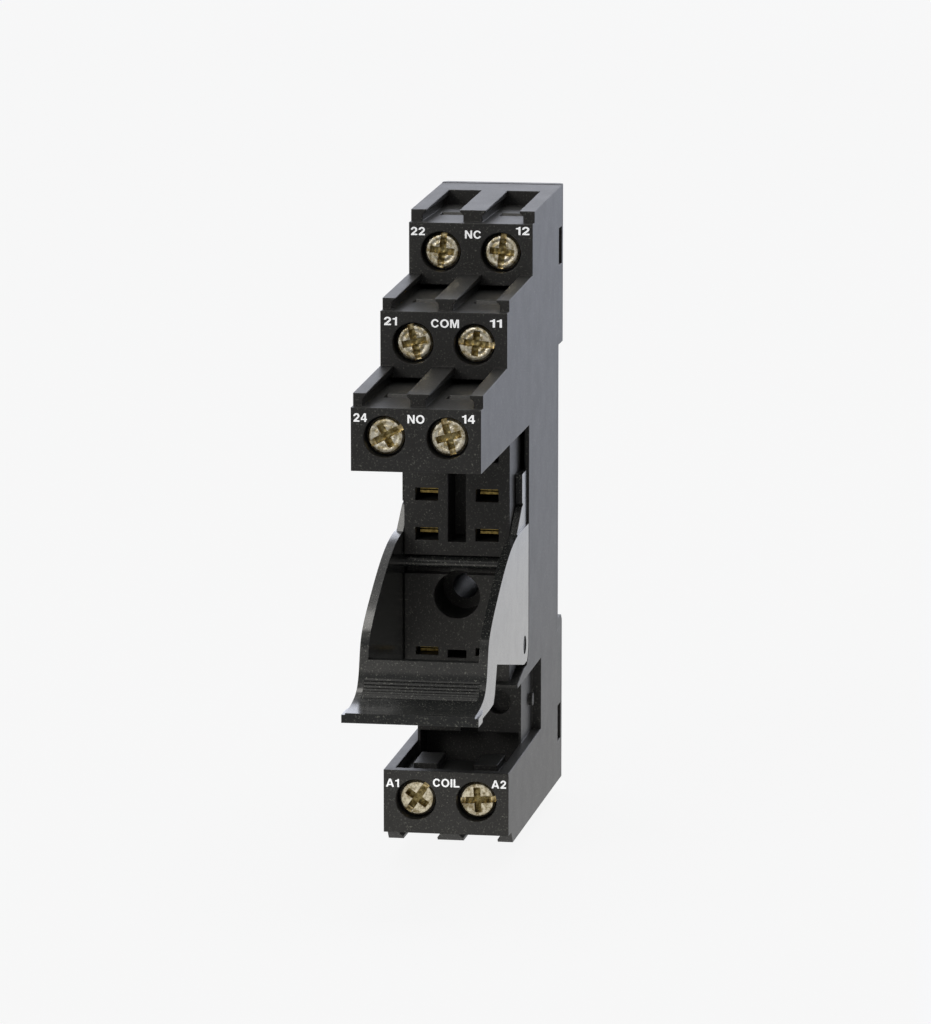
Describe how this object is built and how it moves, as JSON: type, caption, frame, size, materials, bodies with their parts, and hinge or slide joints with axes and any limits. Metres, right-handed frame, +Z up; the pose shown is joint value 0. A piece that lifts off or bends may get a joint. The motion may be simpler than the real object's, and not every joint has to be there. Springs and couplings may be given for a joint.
{
  "type": "relay socket",
  "caption": "DIN-rail relay socket with stepped screw terminals, a relay bay and a hinged retaining clip that ejects the relay.",
  "frame": {"origin": "middle of the seat that rests on the mounting rail's face", "axes": "+Z up along the socket's height, +X to the right across its width, terminals face -Y"},
  "size_m": [0.0166, 0.072, 0.0785],
  "materials": {
    "housing_plastic": "satin, finely grained",
    "cover_plastic": "satin",
    "clip_plastic": "satin",
    "latch_plastic": "satin",
    "screw_steel": "nickel plated",
    "clamp_steel": "zinc plated",
    "spring_steel": "bright drawn wire",
    "contact_brass": "stamped strip"
  },
  "bodies": {
    "base": {"housing": "housing_plastic", "rear_cover": "cover_plastic", "latch_spring": "spring_steel", "contact_strip_nc_left": "contact_brass", "contact_strip_nc_right": "contact_brass", "contact_strip_com_left": "contact_brass", "contact_strip_com_right": "contact_brass", "contact_strip_no_left": "contact_brass", "contact_strip_no_right": "contact_brass", "contact_strip_coil_left": "contact_brass", "contact_strip_coil_right": "contact_brass"},
    "screw_nc_left": {"terminal_screw_nc_left": "screw_steel"},
    "clamp_nc_left": {"terminal_clamp_nc_left": "clamp_steel"},
    "screw_nc_right": {"terminal_screw_nc_right": "screw_steel"},
    "clamp_nc_right": {"terminal_clamp_nc_right": "clamp_steel"},
    "screw_com_left": {"terminal_screw_com_left": "screw_steel"},
    "clamp_com_left": {"terminal_clamp_com_left": "clamp_steel"},
    "screw_com_right": {"terminal_screw_com_right": "screw_steel"},
    "clamp_com_right": {"terminal_clamp_com_right": "clamp_steel"},
    "screw_no_left": {"terminal_screw_no_left": "screw_steel"},
    "clamp_no_left": {"terminal_clamp_no_left": "clamp_steel"},
    "screw_no_right": {"terminal_screw_no_right": "screw_steel"},
    "clamp_no_right": {"terminal_clamp_no_right": "clamp_steel"},
    "screw_coil_left": {"terminal_screw_coil_left": "screw_steel"},
    "clamp_coil_left": {"terminal_clamp_coil_left": "clamp_steel"},
    "screw_coil_right": {"terminal_screw_coil_right": "screw_steel"},
    "clamp_coil_right": {"terminal_clamp_coil_right": "clamp_steel"},
    "clip": {"retaining_clip": "clip_plastic"},
    "latch": {"rail_latch": "latch_plastic"}
  },
  "joints": [
    {"name": "screw_nc_left_turn", "type": "hinge", "parent": "base", "child": "screw_nc_left", "pos_m": [-0.0038, -0.0201, 0.03275], "axis": [0, -1, 0], "range_deg": [0, 1440.5]},
    {"name": "clamp_nc_left_slide", "type": "slide", "parent": "base", "child": "clamp_nc_left", "axis": [0, 1, 0], "range_m": [0, 0.0018]},
    {"name": "screw_nc_right_turn", "type": "hinge", "parent": "base", "child": "screw_nc_right", "pos_m": [0.0038, -0.0201, 0.03275], "axis": [0, -1, 0], "range_deg": [0, 1440.5]},
    {"name": "clamp_nc_right_slide", "type": "slide", "parent": "base", "child": "clamp_nc_right", "axis": [0, 1, 0], "range_m": [0, 0.0018]},
    {"name": "screw_com_left_turn", "type": "hinge", "parent": "base", "child": "screw_com_left", "pos_m": [-0.0038, -0.0407, 0.02405], "axis": [0, -1, 0], "range_deg": [0, 1440.5]},
    {"name": "clamp_com_left_slide", "type": "slide", "parent": "base", "child": "clamp_com_left", "axis": [0, 1, 0], "range_m": [0, 0.0018]},
    {"name": "screw_com_right_turn", "type": "hinge", "parent": "base", "child": "screw_com_right", "pos_m": [0.0038, -0.0407, 0.02405], "axis": [0, -1, 0], "range_deg": [0, 1440.5]},
    {"name": "clamp_com_right_slide", "type": "slide", "parent": "base", "child": "clamp_com_right", "axis": [0, 1, 0], "range_m": [0, 0.0018]},
    {"name": "screw_no_left_turn", "type": "hinge", "parent": "base", "child": "screw_no_left", "pos_m": [-0.0038, -0.0608, 0.01565], "axis": [0, -1, 0], "range_deg": [0, 1440.5]},
    {"name": "clamp_no_left_slide", "type": "slide", "parent": "base", "child": "clamp_no_left", "axis": [0, 1, 0], "range_m": [0, 0.0018]},
    {"name": "screw_no_right_turn", "type": "hinge", "parent": "base", "child": "screw_no_right", "pos_m": [0.0038, -0.0608, 0.01565], "axis": [0, -1, 0], "range_deg": [0, 1440.5]},
    {"name": "clamp_no_right_slide", "type": "slide", "parent": "base", "child": "clamp_no_right", "axis": [0, 1, 0], "range_m": [0, 0.0018]},
    {"name": "screw_coil_left_turn", "type": "hinge", "parent": "base", "child": "screw_coil_left", "pos_m": [-0.0038, -0.0392, -0.03335], "axis": [0, -1, 0], "range_deg": [0, 1440.5]},
    {"name": "clamp_coil_left_slide", "type": "slide", "parent": "base", "child": "clamp_coil_left", "axis": [0, 1, 0], "range_m": [0, 0.0018]},
    {"name": "screw_coil_right_turn", "type": "hinge", "parent": "base", "child": "screw_coil_right", "pos_m": [0.0038, -0.0392, -0.03335], "axis": [0, -1, 0], "range_deg": [0, 1440.5]},
    {"name": "clamp_coil_right_slide", "type": "slide", "parent": "base", "child": "clamp_coil_right", "axis": [0, 1, 0], "range_m": [0, 0.0018]},
    {"name": "clip_swing", "type": "hinge", "parent": "base", "child": "clip", "pos_m": [0, -0.0285, -0.016], "axis": [1, 0, 0], "range_deg": [0, 22]},
    {"name": "latch_slide", "type": "slide", "parent": "base", "child": "latch", "axis": [0, 0, -1], "range_m": [0, 0.002], "stiffness_N_per_m": 1200, "springref_m": -0.001, "deforming": ["latch_spring"]}
  ],
  "couplings": [
    {"joint": "screw_nc_left_turn", "follows": "clamp_nc_left_slide", "rad_per_m": 13963},
    {"joint": "screw_nc_right_turn", "follows": "clamp_nc_right_slide", "rad_per_m": 13963},
    {"joint": "screw_com_left_turn", "follows": "clamp_com_left_slide", "rad_per_m": 13963},
    {"joint": "screw_com_right_turn", "follows": "clamp_com_right_slide", "rad_per_m": 13963},
    {"joint": "screw_no_left_turn", "follows": "clamp_no_left_slide", "rad_per_m": 13963},
    {"joint": "screw_no_right_turn", "follows": "clamp_no_right_slide", "rad_per_m": 13963},
    {"joint": "screw_coil_left_turn", "follows": "clamp_coil_left_slide", "rad_per_m": 13963},
    {"joint": "screw_coil_right_turn", "follows": "clamp_coil_right_slide", "rad_per_m": 13963}
  ]
}
